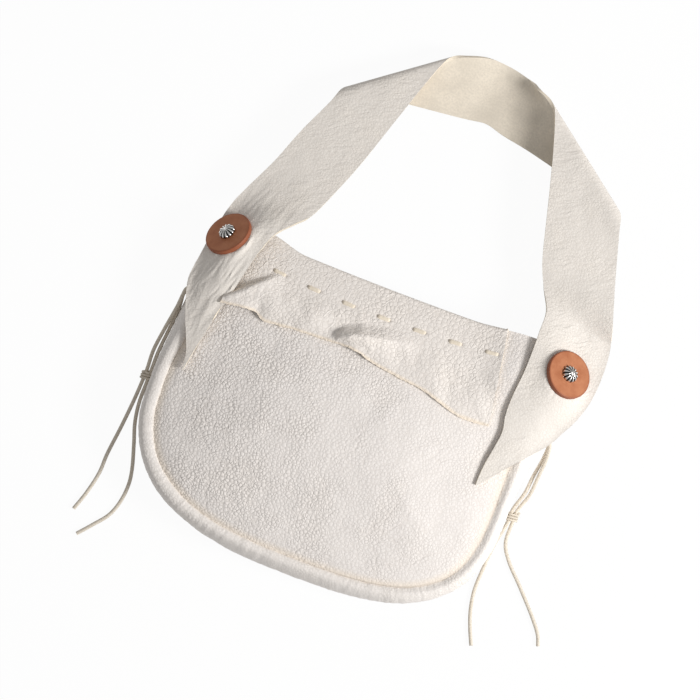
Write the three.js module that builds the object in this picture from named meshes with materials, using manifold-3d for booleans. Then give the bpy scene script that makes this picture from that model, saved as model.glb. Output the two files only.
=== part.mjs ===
import * as THREE from 'three';
import { mergeVertices } from 'three/addons/utils/BufferGeometryUtils.js';
import Module from 'manifold-3d';

// Soft leather shoulder bag lying on its back, in millimetres.
// X runs across the bag, Y toward its mouth, Z up out of its front.

// Body: back panel, gusset and front panel.
const bodyWidth = 300;
const bodyHeight = 240;
const bodyDepth = 40;
const leather = 2;
const gap = 0.3;
const bellyY = -10;
const cornerPower = 2.6;
const gussetRoll = 12;
const seamDepth = 4.4;
const seamLap = 6;
const panelRise = 4;
const panelRollLength = 9;
const panelCrown = 3;
const mouthSag = 2;
const mouthFall = 8;
const mouthFallLength = 40;
const mouthDip = 3;
const leftMouthLift = 6;
const rightMouthLift = 3.5;
const backMouthDip = 5;

// The gusset's upper ends, or ears: how far back seam and front seam stand out of the line of the sides,
// and how much wider the roll is there.
const leftEar = { foot: -4, lip: -24, roll: 1.25 };
const rightEar = { foot: 18, lip: -2, roll: 1.9 };

// Facing over the front panel's mouth edge, and the lace that holds it.
const facingLeather = 1.8;
const facingInside = 36;
const facingLeft = -95;
const facingNotch = 13;
const facingRight = 97.5;
const stitchCount = 7;
const stitchPitch = 29.3;
const stitchLength = 10;
const firstStitchX = -84;
const stitchDrop = 25;
const laceWidth = 4;
const laceThickness = 1.4;

// Strap and its fastening: a rosette and a conch screwed from inside at each ear.
const strapLeather = 2.5;
const strapRest = 1;
const leftStrapSlope = 1.0;
const rightStrapSlope = 0.75;
const foldRadiusOuter = 7;
const foldRadiusInner = 3;
const foldShear = 13;
const rosetteDiameter = 38;
const rosetteThickness = 4;
const conchDiameter = 13;
const conchHeight = 4.5;
const conchFlutes = 12;
const screwDiameter = 4;
const screwHeadDiameter = 7;
const screwHeadThickness = 1.5;

// Where each conch sits, out from the seam and down from the mouth, and how the strap lies under it:
// its lean from flat, and how far that lean turns from the side toward the mouth.
const leftConch = { out: -10, drop: 9.6, lean: 53, turn: 35 };
const rightConch = { out: 13.2, drop: 16.6, lean: 33, turn: 46 };
const conchFlatMargin = 2;
const conchFade = 18;

// Side laces.
const sideLaceDiameter = 3;
const knotLength = 9;
const knotWall = 1.9;

const creamLeather = new THREE.MeshStandardMaterial({ color: 0xebe6de, roughness: 0.6, metalness: 0 });
const paleLace = new THREE.MeshStandardMaterial({ color: 0xefe5d2, roughness: 0.65, metalness: 0 });
const tanLeather = new THREE.MeshStandardMaterial({ color: 0xc98a5c, roughness: 0.5, metalness: 0 });
const silver = new THREE.MeshStandardMaterial({ color: 0xc8c8c6, roughness: 0.25, metalness: 1 });

const { smoothstep, lerp } = THREE.MathUtils;
const mouthY = bodyHeight / 2;
const seamHalf = bodyWidth / 2 - gussetRoll;
const seamDrop = mouthY + bellyY - gussetRoll;
const seamZ = bodyDepth - seamDepth;
const panelMouthY = mouthY - gap - facingLeather;

// A closed solid from points and triangles, turned so that its faces point out.
function solid(points, triangles) {
  let volume = 0;
  for (const [a, b, c] of triangles) {
    volume += points[a].dot(new THREE.Vector3().crossVectors(points[b], points[c]));
  }
  const geometry = new THREE.BufferGeometry();
  geometry.setFromPoints(points);
  geometry.setIndex(triangles.flatMap(([a, b, c]) => (volume > 0 ? [a, b, c] : [a, c, b])));
  return geometry;
}

// A leather sheet of even thickness around a grid of points on its middle surface.
function sheet(grid, thickness) {
  const rows = grid.length;
  const columns = grid[0].length;
  const points = [];
  for (const side of [0.5, -0.5]) {
    for (let r = 0; r < rows; r++) {
      for (let c = 0; c < columns; c++) {
        const along = grid[Math.min(r + 1, rows - 1)][c].clone().sub(grid[Math.max(r - 1, 0)][c]);
        const across = grid[r][Math.min(c + 1, columns - 1)].clone().sub(grid[r][Math.max(c - 1, 0)]);
        const normal = along.cross(across).normalize();
        points.push(grid[r][c].clone().addScaledVector(normal, side * thickness));
      }
    }
  }
  const top = (r, c) => r * columns + c;
  const bottom = (r, c) => rows * columns + top(r, c);
  const triangles = [];
  const quad = (a, b, c, d) => triangles.push([a, b, c], [a, c, d]);
  for (let r = 0; r < rows - 1; r++) {
    for (let c = 0; c < columns - 1; c++) {
      quad(top(r, c), top(r + 1, c), top(r + 1, c + 1), top(r, c + 1));
      quad(bottom(r, c), bottom(r, c + 1), bottom(r + 1, c + 1), bottom(r + 1, c));
    }
    quad(top(r, 0), bottom(r, 0), bottom(r + 1, 0), top(r + 1, 0));
    quad(top(r + 1, columns - 1), bottom(r + 1, columns - 1), bottom(r, columns - 1), top(r, columns - 1));
  }
  for (let c = 0; c < columns - 1; c++) {
    quad(top(0, c + 1), bottom(0, c + 1), bottom(0, c), top(0, c));
    quad(top(rows - 1, c), bottom(rows - 1, c), bottom(rows - 1, c + 1), top(rows - 1, c + 1));
  }
  return solid(points, triangles);
}

const wasm = await Module();
wasm.setup();

function toManifold(geometry) {
  const bare = geometry.clone();
  bare.deleteAttribute('normal');
  bare.deleteAttribute('uv');
  const merged = mergeVertices(bare, 1e-3);
  const vertProperties = new Float32Array(merged.attributes.position.array);
  const triVerts = new Uint32Array(merged.index.array);
  return new wasm.Manifold(new wasm.Mesh({ numProp: 3, vertProperties, triVerts }));
}

function fromManifold(manifold) {
  const mesh = manifold.getMesh();
  const geometry = new THREE.BufferGeometry();
  geometry.setAttribute('position', new THREE.BufferAttribute(new Float32Array(mesh.vertProperties), 3));
  geometry.setIndex(new THREE.BufferAttribute(new Uint32Array(mesh.triVerts), 1));
  return geometry;
}

const bag = new THREE.Group();
function addPiece(name, geometry, material, parent = bag) {
  const piece = new THREE.Mesh(geometry, material);
  piece.name = name;
  parent.add(piece);
  return piece;
}

// One place on the U-shaped seam: its point in plan, its outward direction and the two seams' shift there.
function sideStation(sign, y) {
  const ear = sign < 0 ? leftEar : rightEar;
  const toMouth = smoothstep(y, bellyY, mouthY);
  return {
    x: sign * seamHalf,
    y,
    nx: sign,
    ny: 0,
    foot: ear.foot * toMouth,
    lip: ear.lip * toMouth,
    roll: lerp(1, ear.roll, toMouth),
  };
}

function bottomStation(angle) {
  const power = (value) => Math.sign(value) * Math.abs(value) ** (2 / cornerPower);
  const x = seamHalf * power(Math.cos(angle));
  const y = bellyY + seamDrop * power(Math.sin(angle));
  const nx = Math.sign(x) * Math.abs(x / seamHalf) ** (cornerPower - 1) / seamHalf;
  const ny = -(Math.abs((y - bellyY) / seamDrop) ** (cornerPower - 1)) / seamDrop;
  const length = Math.hypot(nx, ny);
  return { x, y, nx: nx / length, ny: ny / length, foot: 0, lip: 0, roll: 1 };
}

const sideSteps = 8;
const bottomSteps = 26;
const stations = [];
for (let i = 0; i < sideSteps; i++) {
  stations.push(sideStation(-1, lerp(mouthY, bellyY, i / sideSteps)));
}
for (let i = 0; i <= bottomSteps; i++) {
  stations.push(bottomStation(Math.PI * (1 + i / bottomSteps)));
}
for (let i = 1; i <= sideSteps; i++) {
  stations.push(sideStation(1, lerp(bellyY, mouthY, i / sideSteps)));
}
const seamPoint = (s, out) => new THREE.Vector2(s.x + s.nx * out, s.y + s.ny * out);

// How far the front of the bag has sunk toward its back at one distance from the mouth.
const fallAt = (y) => mouthFall * Math.max(0, 1 - (mouthY - y) / mouthFallLength) ** 2;

const sectionSteps = 12;

// The gusset's section, from the lap on the back panel round the roll to the sunken front seam.
function gussetSection({ y, foot, lip, roll }) {
  const wall = gussetRoll - leather / 2;
  const brow = wall * roll;
  const lapZ = leather + gap + leather / 2;
  const crestZ = bodyDepth - leather / 2 - fallAt(y);
  const points = [
    [foot - seamLap, lapZ],
    [foot, lapZ],
    [foot + wall * 0.55, lapZ + 1],
    [foot + wall * 0.9, crestZ * 0.25],
    [lerp(foot, lip, 0.25) + wall, crestZ * 0.46],
    [lerp(foot, lip, 0.7) + brow * 0.97, crestZ * 0.69],
    [lip + brow * 0.79, crestZ * 0.89],
    [lip + brow * 0.45, crestZ],
    [lip + brow * 0.14, crestZ - seamDepth * 0.28],
    [lip, seamZ - gap - fallAt(y)],
  ];
  return new THREE.SplineCurve(points.map(([out, z]) => new THREE.Vector2(out, z)));
}
const gussetPoints = (station) => gussetSection(station).getPoints(sectionSteps);

// Front panel: its rim stands inside the gusset's lip, and it rises from the seam to a soft crown.
const panelInset = leather / 2 + gap;
const panelRim = stations.map((s) => seamPoint(s, s.lip - panelInset));

function seamDistance(x, y) {
  let nearest = Infinity;
  for (let i = 0; i < panelRim.length - 1; i++) {
    const start = panelRim[i];
    const run = panelRim[i + 1].clone().sub(start);
    const share = THREE.MathUtils.clamp(((x - start.x) * run.x + (y - start.y) * run.y) / run.lengthSq(), 0, 1);
    nearest = Math.min(nearest, Math.hypot(x - start.x - run.x * share, y - start.y - run.y * share));
  }
  return nearest;
}

function panelZ(x, y) {
  const inside = seamDistance(x, y);
  const across = 1 - Math.min(1, (x / seamHalf) ** 2);
  const rise = panelRise * (1 - Math.exp(-inside / panelRollLength));
  const crown = panelCrown * across * (1 - smoothstep(y, bellyY, mouthY));
  const sag = mouthSag * across * smoothstep(y, bellyY, mouthY);
  return seamZ + rise + crown - sag - fallAt(Math.min(y, mouthY));
}

function mouthLine(x) {
  const dip = mouthDip * Math.max(0, 1 - (x / seamHalf) ** 2);
  const leftLift = leftMouthLift * smoothstep(-x / seamHalf, 0.5, 0.74);
  const rightLift = rightMouthLift * smoothstep(x / seamHalf, 0.5, 0.84);
  return panelMouthY - dip + leftLift + rightLift;
}

function frontPanelGeometry() {
  const rim = panelRim.map((p, i) => (i === 0 || i === panelRim.length - 1 ? new THREE.Vector2(p.x, mouthLine(p.x)) : p));
  const mouthSteps = 22;
  for (let i = 1; i < mouthSteps; i++) {
    const x = lerp(rim[stations.length - 1].x, rim[0].x, i / mouthSteps);
    rim.push(new THREE.Vector2(x, mouthLine(x)));
  }
  const centre = new THREE.Vector2(0, (bellyY + mouthY) / 4);
  const ringShares = [1, 0.96, 0.91, 0.85, 0.78, 0.7, 0.58, 0.3];
  const points = [];
  for (const side of [0.5, -0.5]) {
    for (const share of ringShares) {
      for (const p of rim) {
        const x = lerp(centre.x, p.x, share);
        const y = lerp(centre.y, p.y, share);
        points.push(new THREE.Vector3(x, y, panelZ(x, y) + side * leather));
      }
    }
    points.push(new THREE.Vector3(centre.x, centre.y, panelZ(centre.x, centre.y) + side * leather));
  }
  const n = rim.length;
  const layer = n * ringShares.length + 1;
  const triangles = [];
  for (let i = 0; i < n; i++) {
    const j = (i + 1) % n;
    for (let ring = 0; ring < ringShares.length - 1; ring++) {
      const a = ring * n;
      const b = a + n;
      triangles.push([a + i, a + j, b + j], [a + i, b + j, b + i]);
      triangles.push([layer + a + j, layer + a + i, layer + b + i], [layer + a + j, layer + b + i, layer + b + j]);
    }
    const last = (ringShares.length - 1) * n;
    triangles.push([last + i, last + j, layer - 1]);
    triangles.push([layer + last + j, layer + last + i, 2 * layer - 1]);
    triangles.push([i, layer + i, layer + j], [i, layer + j, j]);
  }
  return solid(points, triangles);
}

// Back panel: flat, under the gusset's lower lap, its mouth edge cut in a shallow curve.
function backPanelGeometry() {
  const rim = stations.map((s) => seamPoint(s, s.foot + leather));
  const mouthSteps = 10;
  const [left, right] = [rim[0].x, rim.at(-1).x];
  for (let i = 1; i < mouthSteps; i++) {
    const share = i / mouthSteps;
    rim.push(new THREE.Vector2(lerp(right, left, share), mouthY - 4 * backMouthDip * share * (1 - share)));
  }
  return new THREE.ExtrudeGeometry(new THREE.Shape(rim), { depth: leather, bevelEnabled: false });
}

// How the strap drapes over one side: a taut line over gusset roll and front panel, no steeper than its slope.
function drapeAt(sign, y) {
  const station = sideStation(sign, Math.min(y, mouthY));
  const lift = leather / 2 + strapRest + strapLeather / 2;
  const section = gussetPoints(station);
  const points = [];
  for (let k = 1; k < section.length - 1; k++) {
    const tangent = section[k + 1].clone().sub(section[k - 1]).normalize();
    const normal = new THREE.Vector2(tangent.y, -tangent.x);
    if (normal.y > 0) {
      points.push(section[k].clone().addScaledVector(normal, lift));
    }
  }
  for (let out = station.lip - 4; out > station.lip - 60; out -= 4) {
    points.push(new THREE.Vector2(out, panelZ(station.x + sign * out, y) + lift));
  }
  points.sort((a, b) => a.x - b.x);
  const hull = [];
  for (const p of points) {
    while (hull.length > 1 && hull.at(-1).clone().sub(hull.at(-2)).cross(p.clone().sub(hull.at(-1))) >= 0) {
      hull.pop();
    }
    hull.push(p);
  }
  const steepest = sign < 0 ? leftStrapSlope : rightStrapSlope;
  while (hull.length > 2 && (hull.at(-2).y - hull.at(-1).y) > steepest * (hull.at(-1).x - hull.at(-2).x)) {
    hull.pop();
  }
  return (x) => {
    const out = sign * x - seamHalf;
    if (out >= hull.at(-1).x) {
      return hull.at(-1).y - steepest * (out - hull.at(-1).x);
    }
    for (let k = 1; k < hull.length; k++) {
      if (out <= hull[k].x) {
        const share = Math.max(0, (out - hull[k - 1].x) / (hull[k].x - hull[k - 1].x));
        return lerp(hull[k - 1].y, hull[k].y, share);
      }
    }
    return hull[0].y;
  };
}


const gussetGrid = stations.map((s) => gussetPoints(s).map((p) => {
  const plan = seamPoint(s, p.x);
  return new THREE.Vector3(plan.x, plan.y, p.y);
}));

// Facing: folded over the front panel's mouth edge, its outer leg wavy, its inner leg short and flat.
const facingLift = leather / 2 + gap + facingLeather / 2;
const facingLowerEdge = new THREE.SplineCurve([
  [-118.7, 58.8], [-92.5, 55.8], [-81.7, 60.3], [-56, 58], [-31.8, 56.9], [-11.7, 56],
  [10.8, 61], [32, 64], [53.7, 66.6], [84.4, 75.3], [109.6, 74.2],
].map(([x, drop]) => new THREE.Vector2(x, drop)));
const facingWaves = [
  { x: -84, width: 22, height: 6, from: 0.3 },
  { x: -44, width: 11, height: 8, from: 0.35 },
  { x: -2, width: 14, height: 5, from: 0.4 },
  { x: 44, width: 20, height: 2.5, from: 0.5 },
  { x: 92, width: 18, height: 3, from: 0.5 },
];
const leftDrapes = new Map();
function strapTopZ(x, y) {
  const key = Math.round(y);
  if (!leftDrapes.has(key)) {
    leftDrapes.set(key, drapeAt(-1, key));
  }
  return leftDrapes.get(key)(x) + strapLeather / 2;
}

function facingZ(x, y, down) {
  let lift = facingLift + gap;
  for (const wave of facingWaves) {
    lift += wave.height * Math.exp(-(((x - wave.x) / wave.width) ** 2)) * smoothstep(down, wave.from, 1);
  }
  const flat = panelZ(x, y) + lift;
  const overStrap = strapTopZ(x, y) + 2 * gap + facingLeather / 2;
  return Math.max(flat, lerp(flat, overStrap, smoothstep(-x, 98, 110) * smoothstep(down, 0.3, 0.6)));
}

function facingGrid() {
  const columns = 25;
  const insideSteps = 4;
  const foldSteps = 4;
  const outsideSteps = 9;
  const rows = [];
  const row = (place) => rows.push(Array.from({ length: columns + 1 }, (_, i) => place(i / columns)));
  const topX = (share) => lerp(facingLeft, facingRight, share);
  for (let k = 0; k < insideSteps; k++) {
    row((share) => {
      const x = topX(share);
      const y = mouthLine(x) - facingInside * (1 - k / insideSteps);
      return new THREE.Vector3(x, y, panelZ(x, y) - facingLift - gap);
    });
  }
  for (let k = 0; k < foldSteps; k++) {
    const angle = Math.PI * (k / foldSteps - 0.5);
    row((share) => {
      const x = topX(share);
      const y = mouthLine(x);
      const z = panelZ(x, y) + (facingLift + gap) * Math.sin(angle);
      return new THREE.Vector3(x, y + facingLift * Math.cos(angle), z);
    });
  }
  for (let k = 0; k <= outsideSteps; k++) {
    row((share) => {
      const down = k / outsideSteps;
      const low = facingLowerEdge.getPoint(share);
      const notch = facingNotch * Math.exp(-(((down - 0.32) / 0.2) ** 2)) * (1 - smoothstep(share, 0, 0.2));
      const x = lerp(topX(share), low.x, down) + notch * smoothstep(down, 0, 0.15);
      const y = lerp(mouthLine(x), mouthY - low.y, down);
      return new THREE.Vector3(x, y, facingZ(x, y, down));
    });
  }
  return rows;
}

// Lacing: one flat lace sewn as a running stitch through both legs of the facing and the panel between them.
function lacingGrid(width) {
  const rows = [];
  const stitchY = (x) => mouthY - stitchDrop + 5.5 * (x / facingRight) ** 2;
  const clear = laceThickness / 2 + facingLeather / 2 + 2 * gap;
  const over = (x) => panelZ(x, stitchY(x)) + facingLift + gap + clear;
  const under = (x) => panelZ(x, stitchY(x)) - facingLift - clear;
  const add = (x, share) => {
    const y = stitchY(x);
    const z = lerp(under(x), over(x), share);
    rows.push([new THREE.Vector3(x, y - width / 2, z), new THREE.Vector3(x, y + width / 2, z)]);
  };
  const bend = laceThickness * 1.4;
  for (let i = 0; i < stitchCount; i++) {
    const middle = firstStitchX + i * stitchPitch;
    const rise = middle - stitchLength / 2;
    const dive = middle + stitchLength / 2;
    add(rise - bend * 1.6, 0);
    add(rise - bend * 0.5, 0.04);
    add(rise, 0.3);
    add(rise, 0.7);
    add(rise + bend * 0.5, 0.96);
    add(rise + bend * 1.6, 1);
    add(dive - bend * 1.6, 1);
    add(dive - bend * 0.5, 0.96);
    add(dive, 0.7);
    add(dive, 0.3);
    add(dive + bend * 0.5, 0.04);
    add(dive + bend * 1.6, 0);
  }
  return rows;
}

const lacingHoles = toManifold(sheet(lacingGrid(laceWidth + 2 * gap), laceThickness + 2 * gap));
const facing = toManifold(sheet(facingGrid(), facingLeather)).subtract(lacingHoles);
const frontPanel = toManifold(frontPanelGeometry()).subtract(lacingHoles);

// Strap: one band from tongue end to tongue end, each row a line from its outer to its inner edge.
// Rows on the bag take their height from the drape; free rows state the height of both edges.
const leftCorner = new THREE.Vector3(-bodyWidth / 2, mouthY, 0);
const rightCorner = new THREE.Vector3(bodyWidth / 2, mouthY, 0);
const loopCentre = new THREE.Vector3(0, mouthY, 0);

const leftTongue = [
  [22.4, -118, 23.4, -116.5], [20.7, -105, 25.8, -101], [15.5, -92, 29.2, -84], [11.2, -82, 32.7, -64],
  [3.2, -59.4, 37.2, -48], [1, -46, 39.5, -38], [3, -32, 42.5, -24], [5.4, -15, 47, -8],
  [8, 4, 52, 5],
];
const leftArm = [
  [12, 19, 20, 63, 18, 46], [17, 31, 17, 72, 28, 43],
  [35, 62, 18, 85.3, 58, 37], [46, 94, 20, 97, 89, 33],
];
const loopTop = [
  [-38, 140, 9, 1, 196, 9], [-6, 144, 4, 15, 197.5, 5], [14, 146.5, 2.4, 26, 197, 3],
  [26, 148, 3, 35, 195.8, 3.4], [36, 144, 3.6, 44, 193, 5], [66, 140, 8, 56, 187, 9],
];
const rightArm = [
  [7, 84, 24, -59, 108, 31], [13.4, 62, 22, -47, 62, 36], [21, 38, 20, -38, 42, 39],
  [27, 20, 18, -30, 26, 41],
];
const rightTongue = [
  [29.3, 5, -29.5, 9],
  [29.5, -10, -29.5, -8], [27.5, -28, -30, -25], [22, -46, -31.5, -42], [15.4, -59, -31.5, -60],
  [9.7, -70, -29, -74], [-2, -84, -30.5, -88], [-16, -100, -33, -103], [-29, -115.5, -33.7, -116],
  [-32.6, -119.6, -33.6, -119.8],
];

// A soft fold: the band goes half round a thick line from its outer to its inner edge.
const leftFold = { outer: [62, 134, 19], inner: [124.3, 181, 17], upFirst: true };
const rightFold = { outer: [-6, 120, 19], inner: [-86, 181, 17], upFirst: false };
function foldRows(fold, corner) {
  const outer = new THREE.Vector3(...fold.outer).add(corner);
  const inner = new THREE.Vector3(...fold.inner).add(corner);
  const along = inner.clone().sub(outer).setZ(0).normalize();
  const away = new THREE.Vector3(-along.y, along.x, 0);
  if (away.y < 0) {
    away.negate();
  }
  const towardInner = fold.upFirst ? 1 : -1;
  const rows = [];
  for (let k = 0; k <= 4; k++) {
    const turn = Math.PI * (0.5 - k / 4) * towardInner;
    rows.push([[outer, foldRadiusOuter], [inner, foldRadiusInner]].map(([edge, radius]) => {
      const point = edge.clone().addScaledVector(away, -radius * (1 - Math.cos(turn)));
      point.addScaledVector(along, -foldShear * turn / (Math.PI / 2));
      return point.setZ(edge.z + radius * Math.sin(turn));
    }));
  }
  return rows;
}

const strapColumns = 8;
const spread = (outer, inner) => Array.from({ length: strapColumns + 1 }, (_, c) => outer.clone().lerp(inner, c / strapColumns));

function drapedRow([ox, oy, ix, iy], sign, corner) {
  const row = spread(new THREE.Vector3(ox, oy, 0).add(corner), new THREE.Vector3(ix, iy, 0).add(corner));
  return row.map((p) => p.setZ(drapeAt(sign, p.y)(p.x)));
}

function freeRow([ox, oy, oz, ix, iy, iz], corner) {
  return spread(new THREE.Vector3(ox, oy, oz).add(corner), new THREE.Vector3(ix, iy, iz).add(corner));
}

const strapRows = [
  ...leftTongue.map((row) => drapedRow(row, -1, leftCorner)),
  ...leftArm.map((row) => freeRow(row, leftCorner)),
  ...foldRows(leftFold, leftCorner).map(([outer, inner]) => spread(outer, inner)),
  ...loopTop.map((row) => freeRow(row, loopCentre)),
  ...foldRows(rightFold, rightCorner).map(([outer, inner]) => spread(outer, inner)),
  ...rightArm.map((row) => freeRow(row, rightCorner)),
  ...rightTongue.map((row) => drapedRow(row, 1, rightCorner)),
];

const drapedZ = (p) => (p.y < mouthY + 2 * strapLeather ? drapeAt(Math.sign(p.x), p.y)(p.x) : 0);

// Where a conch sits: the strap lies flat under its rosette, just high enough to clear the bag there.
function conchSeat(sign, { out, drop, lean, turn }) {
  const tilt = THREE.MathUtils.degToRad(lean);
  const heading = THREE.MathUtils.degToRad(turn);
  const flat = Math.sin(tilt);
  const axis = new THREE.Vector3(sign * Math.cos(heading) * flat, Math.sin(heading) * flat, Math.cos(tilt));
  const point = new THREE.Vector3(sign * (seamHalf + out), mouthY - drop, 0);
  const rise = (p) => (axis.x * (p.x - point.x) + axis.y * (p.y - point.y)) / axis.z;
  const reach = rosetteDiameter / 2;
  for (let ring = 0; ring <= 4; ring++) {
    for (let k = 0; k < 24; k++) {
      const spoke = new THREE.Vector3(0, (ring / 4) * reach, 0).applyAxisAngle(new THREE.Vector3(0, 0, 1), (k * Math.PI) / 12);
      spoke.applyQuaternion(new THREE.Quaternion().setFromUnitVectors(new THREE.Vector3(0, 0, 1), axis));
      const p = spoke.add(new THREE.Vector3(point.x, point.y, 0));
      if (p.y < mouthY) {
        point.z = Math.max(point.z, drapedZ(p) + rise(p));
      }
    }
  }
  return { point, axis, planeZ: (p) => point.z - rise(p) };
}
const conchSeats = { left: conchSeat(-1, leftConch), right: conchSeat(1, rightConch) };

// Lays a point of the strap on the plane of a near conch, and lets it go again past the rosette's rim.
function layUnderConches(p) {
  for (const { point, planeZ } of Object.values(conchSeats)) {
    const onPlane = new THREE.Vector3(p.x, p.y, planeZ(p)).distanceTo(point);
    const rim = rosetteDiameter / 2 + conchFlatMargin;
    p.z = lerp(planeZ(p), p.z, smoothstep(onPlane, rim, rim + conchFade));
  }
}

// Raises two neighbouring points until the straight line between them clears the bag.
function clearBag(a, b) {
  const middle = a.clone().lerp(b, 0.5);
  const raise = Math.max(0, drapedZ(middle) - middle.z);
  a.z += raise;
  b.z += raise;
}

function strapGrid() {
  const steps = Math.round(1.4 * strapRows.length);
  const columns = strapRows[0].map((_, c) => new THREE.CatmullRomCurve3(strapRows.map((row) => row[c])));
  const grid = [];
  for (let k = 0; k <= steps; k++) {
    grid.push(columns.map((curve) => curve.getPoint(k / steps)));
  }
  grid.flat().forEach((p) => {
    p.setZ(Math.max(p.z, drapedZ(p)));
    layUnderConches(p);
    p.setZ(Math.max(p.z, drapedZ(p)));
  });
  for (let r = 1; r <= steps; r++) {
    for (let c = 1; c <= strapColumns; c++) {
      clearBag(grid[r][c - 1], grid[r][c]);
      clearBag(grid[r - 1][c], grid[r][c]);
      clearBag(grid[r - 1][c - 1], grid[r][c]);
    }
  }
  return grid;
}

// Heights along the axis of points spread over a sheet within reach of it.
function heightsNear(grid, seat, reach) {
  const heights = [];
  const parts = 4;
  for (let r = 0; r < parts * (grid.length - 1); r++) {
    for (let c = 0; c < parts * (grid[0].length - 1); c++) {
      const [row, column] = [Math.floor(r / parts), Math.floor(c / parts)];
      const near = grid[row][column].clone().lerp(grid[row][column + 1], (c % parts) / parts);
      const far = grid[row + 1][column].clone().lerp(grid[row + 1][column + 1], (c % parts) / parts);
      const p = near.lerp(far, (r % parts) / parts).sub(seat.point);
      const height = p.dot(seat.axis);
      if (Math.abs(height) < rosetteDiameter / 2 && p.lengthSq() - height ** 2 < reach ** 2) {
        heights.push(height);
      }
    }
  }
  return heights;
}

function turned(profile, segments) {
  const geometry = new THREE.LatheGeometry(profile.map(([r, z]) => new THREE.Vector2(r, z)), segments);
  return geometry.rotateX(Math.PI / 2);
}

const boreRadius = screwDiameter / 2 + gap;
function rosetteGeometry() {
  const radius = rosetteDiameter / 2;
  const bevel = rosetteThickness * 0.2;
  return turned([
    [boreRadius, 0], [radius - bevel, 0], [radius, bevel], [radius, rosetteThickness - bevel],
    [radius - bevel, rosetteThickness], [boreRadius, rosetteThickness], [boreRadius, 0],
  ], 36);
}

// Conch: a low dome with flutes from its middle to its rim, hollowed below for the screw.
const screwReach = conchHeight * 0.5;
function conchGeometry() {
  const radius = conchDiameter / 2;
  const dome = [0.96, 0.8, 0.6, 0.4, 0.2].map((share) => [radius * share, conchHeight * Math.sqrt(1 - share ** 2 * 0.8)]);
  const geometry = turned([
    [0, screwReach + gap], [boreRadius, screwReach + gap], [boreRadius, 0], [radius, 0],
    [radius, conchHeight * 0.3], ...dome, [0, conchHeight],
  ], 2 * conchFlutes);
  const place = geometry.attributes.position;
  for (let i = 0; i < place.count; i++) {
    const reach = Math.hypot(place.getX(i), place.getY(i)) / radius;
    if (place.getZ(i) > conchHeight * 0.4 && reach > 0.3) {
      const groove = 0.5 - 0.5 * Math.cos(conchFlutes * Math.atan2(place.getY(i), place.getX(i)));
      place.setZ(i, place.getZ(i) - conchHeight * 0.16 * reach * groove);
    }
  }
  return geometry;
}

function screwGeometry(headTop, tip) {
  return turned([
    [0, headTop - screwHeadThickness], [screwHeadDiameter / 2, headTop - screwHeadThickness],
    [screwHeadDiameter / 2, headTop], [screwDiameter / 2, headTop], [screwDiameter / 2, tip], [0, tip],
  ], 16);
}

const strapMiddle = strapGrid();
let strap = toManifold(sheet(strapMiddle, strapLeather));
let gusset = toManifold(sheet(gussetGrid, leather));
const fastenings = [
  { side: 'left', seat: conchSeats.left },
  { side: 'right', seat: conchSeats.right },
];
for (const { side, seat } of fastenings) {
  const rosetteZ = Math.max(...heightsNear(strapMiddle, seat, rosetteDiameter / 2 + strapLeather)) + strapLeather / 2 + gap;
  const conchZ = rosetteZ + rosetteThickness + gap;
  const headTop = Math.min(0, ...heightsNear(gussetGrid, seat, screwHeadDiameter / 2 + leather)) - leather / 2 - gap;
  const fastening = new THREE.Group();
  fastening.position.copy(seat.point);
  fastening.quaternion.setFromUnitVectors(new THREE.Vector3(0, 0, 1), seat.axis);
  fastening.updateMatrix();
  bag.add(fastening);
  addPiece(`${side}_rosette`, rosetteGeometry(), tanLeather, fastening).position.z = rosetteZ;
  addPiece(`${side}_conch`, conchGeometry(), silver, fastening).position.z = conchZ;
  addPiece(`${side}_conch_screw`, screwGeometry(headTop, conchZ + screwReach), silver, fastening);
  const bore = turned([[0, headTop], [boreRadius, headTop], [boreRadius, conchZ], [0, conchZ]], 16);
  const cutter = toManifold(bore.applyMatrix4(fastening.matrix));
  strap = strap.subtract(cutter);
  gusset = gusset.subtract(cutter);
}

// Side laces: two leave the gusset at each side, run together through a wrapped knot and lie on the table.
const sideLaces = {
  left_lace_front: [
    [-144.1, 66, 22], [-148.4, 60, 22.8], [-152.4, 45.6, 19.5], [-156.9, 26, 13], [-158.1, 6.6, 7], [-155.9, -8, 4.5], [-156, -18, 4.3],
    [-157, -36.3, 1.8], [-159, -60, 1.6], [-161.5, -83, 1.6], [-162, -99, 1.6], [-166, -118, 1.6], [-170.8, -132.6, 1.6],
  ],
  left_lace_back: [
    [-146.1, 66, 17.5], [-149.3, 60, 18.2], [-151.4, 45.6, 15.5], [-153.6, 26, 10], [-154.2, 6.6, 6], [-152.4, -8, 4.5], [-152.4, -18, 4.3],
    [-152.4, -36, 1.8], [-149.8, -52, 1.6], [-144.7, -67.5, 1.6], [-138.8, -87, 1.6], [-137, -98.7, 1.6],
    [-138.2, -114, 1.6], [-142.7, -127, 1.6], [-152.5, -139.6, 1.6], [-161.5, -150.2, 1.6],
  ],
  right_lace_front: [
    [157.9, 55, 23.5], [161, 49, 23], [162.8, 38, 18.5], [162.4, 22, 12], [161.6, 6.6, 7], [157, -9, 4.5], [156.9, -19, 4.3],
    [158, -36, 1.8], [165.4, -48, 1.6], [181, -64, 1.6], [200.5, -85, 1.6], [208, -95, 1.6], [211, -102.6, 1.6],
  ],
  right_lace_back: [
    [158.2, 55, 19], [160.7, 49, 18.4], [160.8, 38, 14.3], [158.9, 22, 9], [157.6, 6.6, 6], [153.5, -9, 4.5], [153.4, -19, 4.3],
    [149.9, -40, 1.8], [148.6, -60, 1.6], [148.2, -79, 1.6], [151, -95, 1.6], [155.6, -108, 1.6], [161.5, -121, 1.6],
  ],
};

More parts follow.
